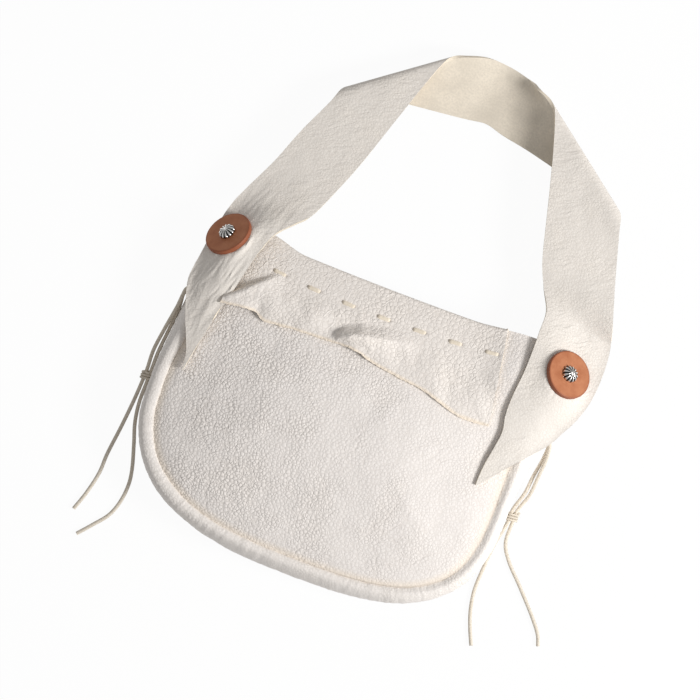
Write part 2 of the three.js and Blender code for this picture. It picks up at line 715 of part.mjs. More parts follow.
function cordGeometry(points) {
  const path = new THREE.CatmullRomCurve3(points.map((p) => new THREE.Vector3(...p)));
  const section = new THREE.Shape().absarc(0, 0, sideLaceDiameter / 2, 0, 2 * Math.PI);
  const steps = Math.ceil(path.getLength() / (3 * sideLaceDiameter));
  return new THREE.ExtrudeGeometry(section, { steps, curveSegments: 4, extrudePath: path });
}

// A knot: a flat sleeve wrapped round both laces.
function knotGeometry() {
  const holeWidth = sideLaceDiameter + 4 * gap + 0.6;
  const holeHeight = sideLaceDiameter / 2 + 3 * gap;
  const outline = new THREE.Shape().absellipse(0, 0, holeWidth + knotWall, holeHeight + knotWall, 0, 2 * Math.PI);
  outline.holes.push(new THREE.Path().absellipse(0, 0, holeWidth, holeHeight, 0, 2 * Math.PI));
  const geometry = new THREE.ExtrudeGeometry(outline, { depth: knotLength, bevelEnabled: false, curveSegments: 10 });
  return geometry.translate(0, 0, -knotLength / 2).rotateX(Math.PI / 2);
}

addPiece('back_panel', backPanelGeometry(), creamLeather);
addPiece('gusset', fromManifold(gusset), creamLeather);
addPiece('front_panel', fromManifold(frontPanel), creamLeather);
addPiece('mouth_facing', fromManifold(facing), creamLeather);
addPiece('facing_lacing', sheet(lacingGrid(laceWidth), laceThickness), paleLace);
addPiece('strap', fromManifold(strap), creamLeather);
for (const [name, points] of Object.entries(sideLaces)) {
  addPiece(name, cordGeometry(points), paleLace);
}
addPiece('left_lace_knot', knotGeometry(), paleLace).position.set(-154.2, -13, 4.45);
addPiece('right_lace_knot', knotGeometry(), paleLace).position.set(155.2, -14, 4.45);

export default bag;
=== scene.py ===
import math

import bpy
import numpy as np
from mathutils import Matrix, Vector, noise


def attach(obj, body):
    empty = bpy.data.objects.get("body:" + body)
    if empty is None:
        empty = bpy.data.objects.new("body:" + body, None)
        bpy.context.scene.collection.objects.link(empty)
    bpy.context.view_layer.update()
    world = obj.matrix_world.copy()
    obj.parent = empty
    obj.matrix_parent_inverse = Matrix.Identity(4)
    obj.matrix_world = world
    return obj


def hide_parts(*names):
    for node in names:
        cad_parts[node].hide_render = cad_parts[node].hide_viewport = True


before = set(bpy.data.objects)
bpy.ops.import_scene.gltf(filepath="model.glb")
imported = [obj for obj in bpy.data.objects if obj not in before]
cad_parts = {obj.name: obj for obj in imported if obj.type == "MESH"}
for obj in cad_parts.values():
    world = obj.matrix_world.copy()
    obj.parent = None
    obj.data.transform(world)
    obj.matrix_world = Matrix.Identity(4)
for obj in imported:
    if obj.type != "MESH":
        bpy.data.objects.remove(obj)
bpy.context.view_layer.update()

# Studio: a white table seen from straight above, with one large soft lamp at the bag's right.
# The camera is turned, because the bag lies about twenty-one degrees round in the picture.
bpy.ops.object.select_all(action="DESELECT")
picture_x, picture_y, camera_height, picture_turn = -0.0117, 0.0628, 2.0775, 21.02
bpy.ops.object.camera_add(location=(picture_x, picture_y, camera_height),
                          rotation=(0, 0, math.radians(picture_turn)))
camera = bpy.context.object
camera.data.sensor_width = 36
camera.data.lens = 135
bpy.context.scene.camera = camera
bpy.context.scene.view_settings.view_transform = "Standard"

bpy.ops.object.light_add(type="AREA", location=(1.325, 0.1, 1.08))
key_light = bpy.context.object
key_light.data.shape = "DISK"
key_light.data.size = 0.6
key_light.data.energy = 25.5
key_light.data.color = (1, 0.99, 0.975)
key_light.rotation_euler = Vector((1.318, 0.04, 1.06)).to_track_quat("Z", "Y").to_euler()


def add_node(tree, kind, wires, **settings):
    """Adds a node: its settings, then each input as a plain value or as another node's output."""
    node = tree.nodes.new(kind)
    for setting, value in settings.items():
        setattr(node, setting, value)
    for socket, source in wires.items():
        if isinstance(source, bpy.types.NodeSocket):
            tree.links.new(source, node.inputs[socket])
        else:
            node.inputs[socket].default_value = source
    return node


def add_math(tree, operation, *terms):
    return add_node(tree, "ShaderNodeMath", dict(enumerate(terms)), operation=operation).outputs["Value"]


world = bpy.data.worlds.new("studio_air")
bpy.context.scene.world = world
world.use_nodes = True
tree = world.node_tree
soft_air = tree.nodes["Background"]
soft_air.inputs["Color"].default_value = (1, 0.99, 0.98, 1)
soft_air.inputs["Strength"].default_value = 0.37
white_air = add_node(tree, "ShaderNodeBackground", {"Color": (1, 1, 1, 1)})
rays = add_node(tree, "ShaderNodeLightPath", {}).outputs
air = add_node(tree, "ShaderNodeMixShader", {
    "Fac": rays["Is Camera Ray"], 1: soft_air.outputs["Background"], 2: white_air.outputs["Background"]})
tree.links.new(air.outputs["Shader"], tree.nodes["World Output"].inputs["Surface"])

bpy.ops.mesh.primitive_plane_add(size=6, location=(0, 0, -0.0004))
table = bpy.context.object
table.name = "table"
table_finish = bpy.data.materials.new("table_white")
table_finish.use_nodes = True
tree = table_finish.node_tree
tree.nodes.remove(tree.nodes["Principled BSDF"])
matt_white = add_node(tree, "ShaderNodeBsdfDiffuse", {"Color": (0.93, 0.93, 0.93, 1)})
bright_white = add_node(tree, "ShaderNodeEmission", {"Color": (1, 1, 1, 1)})
bright_share = 0.95
rays = add_node(tree, "ShaderNodeLightPath", {}).outputs
seen = add_math(tree, "MAXIMUM", rays["Is Camera Ray"], rays["Is Glossy Ray"])
seen = add_math(tree, "MAXIMUM", seen, rays["Is Transmission Ray"])
table_mix = add_node(tree, "ShaderNodeMixShader", {
    "Fac": add_math(tree, "MULTIPLY", seen, bright_share),
    1: matt_white.outputs["BSDF"], 2: bright_white.outputs["Emission"]})
tree.links.new(table_mix.outputs["Shader"], tree.nodes["Material Output"].inputs["Surface"])
table.data.materials.append(table_finish)

# Side laces: at each side two narrow strips of leather come out of the gusset behind the strap.
# They run together through a wrapped knot, and their free ends lie on the table.
MM = 0.001
lace_thickness = 3
curve_steps = 8


def catmull_rom(points, steps):
    """Points on a smooth curve through the given ones, with centripetal spacing."""
    points = [Vector(p) for p in points]
    ends = [2 * points[0] - points[1], *points, 2 * points[-1] - points[-2]]
    line = []
    for i in range(len(points) - 1):
        p0, p1, p2, p3 = ends[i:i + 4]
        t1 = max((p1 - p0).length, 1e-6) ** 0.5
        t2 = t1 + max((p2 - p1).length, 1e-6) ** 0.5
        t3 = t2 + max((p3 - p2).length, 1e-6) ** 0.5
        for k in range(steps):
            t = t1 + (t2 - t1) * k / steps
            a1 = p0.lerp(p1, t / t1)
            a2 = p1.lerp(p2, (t - t1) / (t2 - t1))
            a3 = p2.lerp(p3, (t - t2) / (t3 - t2))
            b1 = a1.lerp(a2, t / t2)
            b2 = a2.lerp(a3, (t - t1) / (t3 - t1))
            line.append(b1.lerp(b2, (t - t1) / (t2 - t1)))
    line.append(points[-1])
    return line


def new_finish(name, colour, roughness, gloss=0.5):
    """A material: itself, its node tree, its principled shader and its object coordinates."""
    finish = bpy.data.materials.new(name)
    finish.use_nodes = True
    tree = finish.node_tree
    shader = tree.nodes["Principled BSDF"]
    shader.inputs["Base Color"].default_value = (*colour, 1)
    shader.inputs["Roughness"].default_value = roughness
    shader.inputs["Specular IOR Level"].default_value = gloss
    return finish, tree, shader, add_node(tree, "ShaderNodeTexCoord", {}).outputs["Object"]


def mottle(tree, place, scale, detail=2):
    return add_node(tree, "ShaderNodeTexNoise", {"Vector": place, "Scale": scale, "Detail": detail}).outputs["Fac"]


def two_tone(tree, share, low, low_colour, high, high_colour):
    """A colour that goes from one tone to another between two shares."""
    ramp = add_node(tree, "ShaderNodeValToRGB", {"Fac": share})
    for stop, position, colour in zip(ramp.color_ramp.elements, (low, high), (low_colour, high_colour)):
        stop.position = position
        stop.color = (*colour, 1)
    return ramp.outputs["Color"]


def roughen(tree, shader, height, strength, depth):
    """Grain too fine for the mesh, so many millimetres deep."""
    bump = add_node(tree, "ShaderNodeBump", {"Strength": strength, "Distance": depth * MM, "Height": height})
    tree.links.new(bump.outputs["Normal"], shader.inputs["Normal"])


lace_leather, tree, shader, place = new_finish("lace_leather", (0.78, 0.71, 0.60), 0.7)
fibre = mottle(tree, place, 900, 4)
lace_colour = two_tone(tree, fibre, 0.3, (0.62, 0.545, 0.44), 0.7, (0.81, 0.75, 0.66))
tree.links.new(lace_colour, shader.inputs["Base Color"])
roughen(tree, shader, fibre, 0.4, 0.3)

lace_routes = {
    "left_lace_front": [
        (-144.1, 66, 22), (-148.4, 60, 22.8), (-150.4, 45.6, 19.5), (-153.8, 26, 13), (-156.4, 6.6, 7),
        (-155.9, -8, 4.5), (-156, -18, 4.3), (-157, -36.3, 1.8), (-159, -60, 1.6), (-161.5, -83, 1.6),
        (-162, -99, 1.6), (-166, -118, 1.6), (-170.8, -132.6, 1.6),
    ],
    "left_lace_back": [
        (-146.1, 66, 17.5), (-149.3, 60, 18.2), (-148.9, 45.6, 15.5), (-150.6, 26, 10), (-152.4, 6.6, 6),
        (-152.4, -8, 4.5), (-152.4, -18, 4.3), (-152.4, -36, 1.8), (-149.8, -52, 1.6), (-144.7, -67.5, 1.6),
        (-138.8, -87, 1.6), (-137, -98.7, 1.6), (-138.2, -114, 1.6), (-142.7, -127, 1.6),
        (-152.5, -139.6, 1.6), (-161.5, -150.2, 1.6),
    ],
    "right_lace_front": [
        (157.9, 55, 23.5), (161, 49, 23), (162.8, 38, 18.5), (162.4, 22, 12), (161.6, 6.6, 7),
        (157, -9, 4.5), (156.9, -19, 4.3), (158, -36, 1.8), (165.4, -48, 1.6), (181, -64, 1.6),
        (200.5, -85, 1.6), (208, -95, 1.6), (211, -102.6, 1.6),
    ],
    "right_lace_back": [
        (158.2, 55, 19), (160.7, 49, 18.4), (160.8, 38, 14.3), (158.9, 22, 9), (157.6, 6.6, 6),
        (153.5, -9, 4.5), (153.4, -19, 4.3), (149.9, -40, 1.8), (148.6, -60, 1.6), (148.2, -79, 1.6),
        (151, -95, 1.6), (155.6, -108, 1.6), (161.5, -121, 1.6),
    ],
}


def lace_strip(name, line, thickness, node):
    """One rounded lace along a line of points, in place of a CAD node."""
    curve = bpy.data.curves.new(name, "CURVE")
    curve.dimensions = "3D"
    run = curve.splines.new("POLY")
    run.points.add(len(line) - 1)
    for point, p in zip(run.points, line):
        point.co = (*p, 1)
    curve.bevel_depth = thickness / 2 * MM
    curve.bevel_resolution = 3
    curve.use_fill_caps = True
    strip = bpy.data.objects.new(name, curve)
    bpy.context.scene.collection.objects.link(strip)
    bpy.ops.object.select_all(action="DESELECT")
    strip.select_set(True)
    bpy.context.view_layer.objects.active = strip
    bpy.ops.object.convert(target="MESH")
    strip = bpy.context.object
    bpy.ops.object.shade_smooth()
    strip.data.materials.clear()
    strip.data.materials.append(lace_leather)
    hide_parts(node)
    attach(strip, "root")
    return strip


knot_middles = {"left": (-154.2, -13, 4.4), "right": (155.2, -14, 4.4)}
knot_turns, steps_a_turn = 3, 32
knot_half_width, knot_half_height, knot_pitch, knot_lean, knot_strip = 4.2, 2.4, 2.2, 0.9, 2
for side, middle in knot_middles.items():
    wraps = []
    for k in range(knot_turns * steps_a_turn + 1):
        angle = 2 * math.pi * k / steps_a_turn
        along = knot_pitch * (k / steps_a_turn - knot_turns / 2) + knot_lean * math.cos(angle)
        turn = Vector((knot_half_width * math.cos(angle), along, knot_half_height * math.sin(angle)))
        wraps.append((Vector(middle) + turn) * MM)
    knot = lace_strip(side + "_lace_knot_turns", wraps, knot_strip, side + "_lace_knot")
    for place_on_side in ("front", "back"):
        lace_name = side + "_lace_" + place_on_side
        line = [p * MM for p in catmull_rom(lace_routes[lace_name], curve_steps)]
        strip = lace_strip(lace_name + "_strip", line, lace_thickness, lace_name)

# Back panel: one flat piece of cream pebbled leather, grain side down on the table.
# The gusset's lower edge is turned in and sewn over its rim; its mouth edge dips a little in the middle.
body_width, body_height = 300, 240
leather = 2
belly_y = -10
left_corner_power, right_corner_power = 2.6, 3.1
gusset_roll = 12
mouth_y = body_height / 2
seam_half = body_width / 2 - gusset_roll
seam_drop = mouth_y + belly_y - gusset_roll
bottom_draw_in = 3.5
back_mouth_dip, back_dip_length = 5, 30
ears = {-1: {"foot": -4, "lip": -24, "roll": 1.25}, 1: {"foot": 18, "lip": -2, "roll": 1.9}}


def lerp(a, b, share):
    return a + (b - a) * share


def smoothstep(value, low, high):
    share = min(1, max(0, (value - low) / (high - low)))
    return share * share * (3 - 2 * share)


def side_station(sign, y):
    """One place on the straight side of the U-shaped seam, with the ear's shift and roll."""
    ear = ears[sign]
    share = smoothstep(y, belly_y, mouth_y)
    return {"x": sign * seam_half, "y": y, "nx": sign, "ny": 0, "foot": ear["foot"] * share,
            "lip": ear["lip"] * share, "roll": lerp(1, ear["roll"], share)}


def bottom_station(angle):
    """One place on the rounded bottom of the seam."""
    corner_power = left_corner_power if math.cos(angle) < 0 else right_corner_power

    def power(value):
        return math.copysign(abs(value) ** (2 / corner_power), value)
    x = seam_half * power(math.cos(angle))
    y = belly_y + seam_drop * power(math.sin(angle))
    nx = math.copysign(abs(x / seam_half) ** (corner_power - 1) / seam_half, x)
    ny = -abs((y - belly_y) / seam_drop) ** (corner_power - 1) / seam_drop
    size = math.hypot(nx, ny)
    return {"x": x, "y": y, "nx": nx / size, "ny": ny / size, "foot": 0,
            "lip": -bottom_draw_in * math.sin(angle) ** 2, "roll": 1}


def seam_stations(side_steps, bottom_steps):
    left = [side_station(-1, lerp(mouth_y, belly_y, i / side_steps)) for i in range(side_steps)]
    bottom = [bottom_station(math.pi * (1 + i / bottom_steps)) for i in range(bottom_steps + 1)]
    right = [side_station(1, lerp(belly_y, mouth_y, i / side_steps)) for i in range(1, side_steps + 1)]
    return left + bottom + right


def seam_point(station, out):
    return station["x"] + station["nx"] * out, station["y"] + station["ny"] * out


def grid_piece(name, columns, rows, place):
    """A grid whose points are laid where place(column, row) says, in millimetres."""
    bpy.ops.object.select_all(action="DESELECT")
    bpy.ops.mesh.primitive_grid_add(x_subdivisions=columns, y_subdivisions=rows, size=1)
    piece = bpy.context.object
    piece.name = piece.data.name = name
    for vertex in piece.data.vertices:
        column = round((vertex.co.x + 0.5) * columns)
        row = round((vertex.co.y + 0.5) * rows)
        vertex.co = Vector(place(column, row)) * MM
    return piece


def apply_modifier(piece, kind, **settings):
    bpy.ops.object.select_all(action="DESELECT")
    piece.select_set(True)
    bpy.context.view_layer.objects.active = piece
    modifier = piece.modifiers.new(kind.lower(), kind)
    for setting, value in settings.items():
        setattr(modifier, setting, value)
    bpy.ops.object.modifier_apply(modifier=modifier.name)


def close_up(piece, outward):
    """Merges doubled points and turns an open sheet's faces to the side that outward names."""
    bpy.ops.object.select_all(action="DESELECT")
    piece.select_set(True)
    bpy.context.view_layer.objects.active = piece
    bpy.ops.object.mode_set(mode="EDIT")
    bpy.ops.mesh.select_all(action="SELECT")
    bpy.ops.mesh.remove_doubles(threshold=1e-6)
    bpy.ops.mesh.normals_make_consistent(inside=False)
    bpy.ops.object.mode_set(mode="OBJECT")
    if sum(face.normal.dot(outward(face.center)) * face.area for face in piece.data.polygons) < 0:
        bpy.ops.object.mode_set(mode="EDIT")
        bpy.ops.mesh.flip_normals()
        bpy.ops.object.mode_set(mode="OBJECT")


def ranged(tree, value, low, high, to_low, to_high):
    """Carries a value softly from one range to another."""
    wires = {"Value": value, "From Min": low, "From Max": high, "To Min": to_low, "To Max": to_high}
    return add_node(tree, "ShaderNodeMapRange", wires, interpolation_type="SMOOTHSTEP").outputs["Result"]


def blended(tree, share, under, over):
    """Mixes two colours, each a plain one or another node's output."""
    under, over = ((*c, 1) if isinstance(c, tuple) else c for c in (under, over))
    return add_node(tree, "ShaderNodeMix", {"Factor": share, 6: under, 7: over}, data_type="RGBA").outputs[2]


def pebbled_leather(name, pebble, depth, crease, base, creases_per_metre=80, tight_side=(1, 1), wrinkle=0):
    """Soft grained leather: round pebbles of one size, finer grain on them and soft wandering creases.
    It may be tighter and smoother toward the right, as tight_side says for its left and its right,
    and finely wrinkled in one direction.
    The attribute warm tints it toward the raw hide; the attribute dark paints shade on it, deep brown, in stitch holes
    and as shadow along a seam."""
    finish, tree, shader, place = new_finish(name, base, 0.6, 0.3)

    def warped(scale, reach):
        drift = add_node(tree, "ShaderNodeTexNoise", {"Vector": place, "Scale": scale}).outputs["Color"]
        moved = add_node(tree, "ShaderNodeVectorMath", {0: drift, 1: (reach * MM,) * 3, 2: place},
                         operation="MULTIPLY_ADD")
        return moved.outputs["Vector"]

    def drawn_out(vector, degrees, stretch):
        """Stretches a texture along one direction of the leather."""
        wires = {"Vector": vector, "Rotation": (0, 0, math.radians(degrees)), "Scale": (stretch, 1, 1)}
        return add_node(tree, "ShaderNodeMapping", wires, vector_type="TEXTURE").outputs["Vector"]

    def cells(vector, scale, feature):
        wires = {"Vector": vector, "Scale": scale}
        return add_node(tree, "ShaderNodeTexVoronoi", wires, feature=feature).outputs["Distance"]

    near, far = warped(260, 1.7), warped(70, 9)
    pebbles_per_metre = 1 / (pebble * MM)
    dome = ranged(tree, cells(near, pebbles_per_metre, "F1"), 0.1, 0.75, 1, 0)
    top = ranged(tree, cells(near, pebbles_per_metre, "DISTANCE_TO_EDGE"), 0, 0.15, 0, 1)
    fine = cells(near, 2.6 * pebbles_per_metre, "F1")
    creases = cells(drawn_out(far, 46, 2.6), creases_per_metre, "DISTANCE_TO_EDGE")
    patch, crease_patch = mottle(tree, place, 30), mottle(tree, far, 24)
    across = add_node(tree, "ShaderNodeSeparateXYZ", {"Vector": place}).outputs["X"]
    strong = add_math(tree, "MULTIPLY", ranged(tree, patch, 0.36, 0.64, 0.6, 1.1),
                      ranged(tree, across, -0.13, 0.12, *tight_side))
    cut = add_math(tree, "MULTIPLY", ranged(tree, creases, 0, 0.07, 1, 0),
                   ranged(tree, crease_patch, 0.42, 0.6, 0, crease))
    height = add_math(tree, "MULTIPLY_ADD", top, 0.5, add_math(tree, "MULTIPLY", dome, 0.7))
    height = add_math(tree, "MULTIPLY", height, strong)
    height = add_math(tree, "MULTIPLY_ADD", fine, -0.22, height)
    height = add_math(tree, "MULTIPLY_ADD", cut, -0.9, height)
    if wrinkle:
        lines = mottle(tree, drawn_out(far, 24, 6), 400)
        drawn = add_math(tree, "MULTIPLY", lines, ranged(tree, crease_patch, 0.36, 0.6, 0.25, 1))
        height = add_math(tree, "MULTIPLY_ADD", drawn, wrinkle, height)
    roughen(tree, shader, height, 1, depth)

    # Pebble valleys and creases get a slightly darker, greyer colour: painted shade in the grain's hollows.
    valley_shade = tuple(c * f for c, f in zip(base, (0.95, 0.94, 0.93)))
    rosy = tuple(c * f for c, f in zip(base, (1.03, 1.01, 0.98)))
    colour = blended(tree, add_math(tree, "SUBTRACT", top, cut), valley_shade, base)
    colour = blended(tree, ranged(tree, patch, 0.42, 0.7, 0, 0.3), colour, rosy)
    # Warm is the raw hide's own colour; the second attribute is painted shade and shadow in deep brown.
    for attribute, tint in (("warm", (0.91, 0.79, 0.65)), ("painted_shade", (0.16, 0.12, 0.09))):
        painted = add_node(tree, "ShaderNodeAttribute", {}, attribute_name=attribute).outputs["Fac"]
        colour = blended(tree, painted, colour, tint)
    tree.links.new(colour, shader.inputs["Base Color"])
    tree.links.new(ranged(tree, top, 0, 1, 0.7, 0.55), shader.inputs["Roughness"])
    return finish


def raw_edge(name, colour):
    """Cut edge or flesh side of the leather: matt, warm and fibrous."""
    finish, tree, shader, place = new_finish(name, colour, 0.8, 0.2)
    nap = mottle(tree, place, 620, 5)
    cloudy_nap = add_math(tree, "MULTIPLY", nap, mottle(tree, place, 45))
    worn, bright = (tuple(min(1, c * f) for c in colour) for f in (0.88, 1.06))
    tree.links.new(two_tone(tree, cloudy_nap, 0.12, worn, 0.4, bright), shader.inputs["Base Color"])
    roughen(tree, shader, nap, 0.35, 0.25)
    return finish


panel_grain = pebbled_leather("panel_grain", 2.6, 0.31, 0.45, (0.875, 0.83, 0.8), tight_side=(1.5, 0.7))
flesh_side = raw_edge("flesh_side", (0.80, 0.725, 0.615))
cut_edge = raw_edge("cut_edge", (0.86, 0.77, 0.64))


def finish_sheet(piece, thickness, grain, node):
    """Gives an open grain-side-out sheet its thickness, soft cut edges, finishes and place in the frame."""
    for finish in (grain, flesh_side, cut_edge):
        piece.data.materials.append(finish)
    apply_modifier(piece, "SOLIDIFY", thickness=thickness * MM, offset=0, use_even_offset=True,
                   material_offset=1, material_offset_rim=2)
    bpy.ops.object.shade_smooth_by_angle(angle=math.radians(55))
    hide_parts(node)
    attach(piece, "root")


half_side, half_bottom = 55, 90
rim_stations = seam_stations(half_side, 2 * half_bottom)
half_rows = half_side + half_bottom
back_columns = 60


def panel_plan(share, row, out):
    """A point of a panel: rows run from the bottom of the seam to the mouth, the share from left to right."""
    left, right = rim_stations[half_rows - row], rim_stations[half_rows + row]
    left_end, right_end = seam_point(left, out(left)), seam_point(right, out(right))
    return lerp(left_end[0], right_end[0], share), lerp(left_end[1], right_end[1], share)


def back_place(column, row):
    share = column / back_columns
    x, y = panel_plan(share, row, lambda station: station["foot"] + leather)
    dip = 4 * back_mouth_dip * share * (1 - share) * smoothstep(y, mouth_y - back_dip_length, mouth_y)
    return x, y - dip, leather / 2


back_panel = grid_piece("back_panel_leather", back_columns, half_rows, back_place)
close_up(back_panel, lambda at: Vector((0, 0, -1)))
finish_sheet(back_panel, leather, panel_grain, "back_panel")

# Gusset: one U-shaped band of finer-grained leather, turned in at both edges and sewn to the two panels.
# It rolls out round the bag's side, is finely wrinkled across, and shows warmer at its sunken front seam.
body_depth, gap = 40, 0.3
seam_depth, seam_lap = 3, 6
seam_z = body_depth - seam_depth
mouth_fall, mouth_fall_length = 8, 40
section_steps = 36
gusset_grain = pebbled_leather("gusset_grain", 2.3, 0.2, 0.3, (0.865, 0.825, 0.795))


def fall_at(y):
    """How far the front of the bag has sunk toward its back near the mouth."""
    return mouth_fall * max(0, 1 - (mouth_y - min(y, mouth_y)) / mouth_fall_length) ** 2


def spline_point(points, share):
    """A point on a smooth curve through the given ones, evenly spaced by number."""
    place = (len(points) - 1) * share
    i = min(int(place), len(points) - 2)
    t = place - i
    p0, p1, p2, p3 = points[max(i - 1, 0)], points[i], points[i + 1], points[min(i + 2, len(points) - 1)]

    def one(a, b, c, d):
        v0, v1 = (c - a) / 2, (d - b) / 2
        return (2 * b - 2 * c + v0 + v1) * t ** 3 + (-3 * b + 3 * c - 2 * v0 - v1) * t ** 2 + v0 * t + b
    return tuple(one(*numbers) for numbers in zip(p0, p1, p2, p3))


def gusset_section(station, steps):
    """From the lap on the back panel round the roll to the sunken front seam, as (out, z)."""
    foot, lip = station["foot"], station["lip"]
    wall = gusset_roll - leather / 2
    brow = wall * station["roll"]
    lap_z = leather + gap + leather / 2
    fall = fall_at(station["y"])
    right_droop = 0.9 * smoothstep(station["x"], 60, 135)
    left_square = smoothstep(-station["x"], 40, 120)
    crest_z = body_depth - leather / 2 - fall - right_droop
    points = [
        (foot - seam_lap, lap_z), (foot, lap_z), (foot + wall * 0.55, lap_z + 1), (foot + wall * 0.9, crest_z * 0.25),
        (lerp(foot, lip, 0.25) + wall, crest_z * lerp(0.46, 0.52, left_square)),
        (lerp(foot, lip, 0.7) + brow * 0.97, crest_z * lerp(0.69, 0.8, left_square)),
        (lip + brow * 0.79, crest_z * lerp(0.89, 0.962, left_square)), (lip + brow * 0.45, crest_z),
        (lip + brow * 0.14, crest_z - seam_depth * 0.28), (lip, seam_z - gap - fall),
    ]
    return [spline_point(points, k / steps) for k in range(steps + 1)]


gusset_side_steps, gusset_bottom_steps = 110, 420
gusset_stations = seam_stations(gusset_side_steps, gusset_bottom_steps)
gusset_sections = [gusset_section(station, section_steps) for station in gusset_stations]
seam_run = [0]
for a, b in zip(gusset_stations, gusset_stations[1:]):
    seam_run.append(seam_run[-1] + math.dist(seam_point(a, 0), seam_point(b, 0)))


def gusset_place(column, row):
    """The gusset's section at one place of the seam, moved along its own normal by fine wrinkles."""
    station, (out, z) = gusset_stations[column], gusset_sections[column][row]
    up = gusset_sections[column][min(row + 1, section_steps)]
    down = gusset_sections[column][max(row - 1, 0)]
    size = math.dist(up, down)
    across, rise = (up[1] - down[1]) / size, -(up[0] - down[0]) / size
    share = row / section_steps
    free = smoothstep(share, 0.2, 0.4) * (1 - smoothstep(station["y"], 30, 60))
    run = seam_run[column]
    wander = 0.8 * noise.noise((run / 20, share * 4, 3))
    wrinkle = 0.26 * noise.noise((run / 2 + wander, share * 2.4, 0.5))
    wrinkle += 0.3 * noise.noise((run / 5.5 + wander, share * 3, 7.5))
    wrinkle += 0.4 * noise.noise((run / 24, share * 3, 1.5))
    x, y = seam_point(station, out + across * wrinkle * free)
    return x, y, z + rise * wrinkle * free


gusset = grid_piece("gusset_leather", len(gusset_stations) - 1, section_steps, gusset_place)
close_up(gusset, lambda at: Vector((at.x, at.y + 0.01, 0)).normalized())
warm = gusset.data.attributes.new("warm", "FLOAT", "POINT")
for vertex in gusset.data.vertices:
    at_lip = vertex.index // len(gusset_stations) / section_steps
    warm.data[vertex.index].value = 0.04 + 0.3 * smoothstep(at_lip, 0.86, 1)
finish_sheet(gusset, leather, gusset_grain, "gusset")

# Front panel: the large face of the same pebbled leather, softly crowned and slack at the mouth.
# Its rim is turned down into the seam with the gusset, where it shows warmer; toward the right a thin line of shadow in
# the seam is painted dark.
panel_rise, panel_roll_length, panel_swell = 4, 9, 10.5
mouth_sag, mouth_dip, left_mouth_lift, right_mouth_lift = 2, 3, 6, 3.5
panel_columns = 130
facing_leather = 1.8
panel_inset = leather / 2 - gap
panel_mouth_y = mouth_y - gap - facing_leather
rim_line = np.array([seam_point(s, s["lip"] - panel_inset) for s in seam_stations(8, 120)])
rim_start, rim_span = rim_line[:-1], np.diff(rim_line, axis=0)
rim_square = (rim_span ** 2).sum(axis=1)


def hump(value, middle, width):
    """A soft rise of height one round a middle."""
    return math.exp(-((value - middle) / width) ** 2)


def seam_distance(x, y):
    """How far inside the seam with the gusset a place on the panel lies."""
    from_start = np.array((x, y)) - rim_start
    share = np.clip((from_start * rim_span).sum(axis=1) / rim_square, 0, 1)
    return float(np.sqrt(((from_start - rim_span * share[:, None]) ** 2).sum(axis=1).min()))


def panel_z(x, y):
    """Height of the panel's middle layer: up out of the seam, crowned below, sunk and sagging at the mouth."""
    across = 1 - min(1, (x / seam_half) ** 2)
    inside = seam_distance(x, y)
    rise = panel_rise * (1 - math.exp(-inside / panel_roll_length))
    to_mouth = smoothstep(y, belly_y, mouth_y)
    crown = panel_swell * smoothstep(inside, -6, 100) * (1 - 0.9 * to_mouth)
    right_ear = 6.5 * hump(x, 117, 22) * hump(y, 90, 28) * smoothstep(inside, 0, 18)
    fall = fall_at(y) * (1 - 0.5 * smoothstep(x, 60, 125))
    return seam_z + rise + crown + right_ear - mouth_sag * across * to_mouth - fall


def mouth_line(x):
    """The panel's mouth edge: dipped in its middle, higher at both ears and past the facing's right end."""
    dip = mouth_dip * max(0, 1 - (x / seam_half) ** 2)
    left_lift = left_mouth_lift * smoothstep(-x / seam_half, 0.5, 0.74)
    right_lift = right_mouth_lift * smoothstep(x / seam_half, 0.5, 0.84)
    past_facing = 2.2 * smoothstep(x, 96.5, 98.5)
    return panel_mouth_y - dip + left_lift + right_lift + past_facing


def front_place(column, row):
    """The panel's place, a little slack below the facing and puckered along its seam."""
    x, y = panel_plan(column / panel_columns, row, lambda station: station["lip"] - panel_inset)
    if y > belly_y:
        y = belly_y + (y - belly_y) * (mouth_line(x) - belly_y) / (mouth_y - belly_y)
    inside = seam_distance(x, y)
    bare = 1 - smoothstep(y, 42, 58)
    slack = 0.75 * noise.noise((x / 34, y / 27, 2)) + 0.35 * noise.noise((x / 13, y / 11, 5))
    under_tuck = hump(x, 12, 30) * hump(y, 44, 14)
    slack += 0.5 * under_tuck * noise.noise(((x + 0.6 * y) / 4.5, (y - 0.4 * x) / 14, 8))
    slack *= smoothstep(inside, 2, 16)
    pucker = 0.28 * math.exp(-inside / 7) * noise.noise((x / 4.2, y / 4.2, 11)) * smoothstep(inside, 0.5, 3)
    return x, y, panel_z(x, y) + bare * (slack + pucker)


front_panel = grid_piece("front_panel_leather", panel_columns, half_rows, front_place)
close_up(front_panel, lambda at: Vector((0, 0, 1)))
warm = front_panel.data.attributes.new("warm", "FLOAT", "POINT")
painted_shade = front_panel.data.attributes.new("painted_shade", "FLOAT", "POINT")
for vertex in front_panel.data.vertices:
    x, y, z = vertex.co / MM
    inside = seam_distance(x, y)
    warm.data[vertex.index].value = 0.55 * (1 - smoothstep(inside, 1, 7))
    # A thin band along the seam, fading out toward the left, is painted deep brown: painted shadow in the seam.
    painted_shade.data[vertex.index].value = 0.3 * (1 - smoothstep(inside, 0.3, 1.6)) * smoothstep(x, -20, 60)
finish_sheet(front_panel, leather, panel_grain, "front_panel")

# Strap: one wide band of smooth, finely wrinkled leather with a pointed end over each ear of the bag.
# Its arms run up from the bag's mouth, are folded over softly at the two upper corners, and meet in a bow
# that lies on the table, flesh side up.
strap_leather, strap_rest = 2.5, 1
strap_columns = 54
fold_radius_outer, fold_radius_inner, fold_shear, fold_steps = 7, 3, 13, 4
steepest_side = {-1: 1.0, 1: 0.75}
reach_past_side = 200
strap_grain = pebbled_leather("strap_grain", 2.2, 0.13, 0.3, (0.80, 0.755, 0.705), wrinkle=6)
drapes = {}


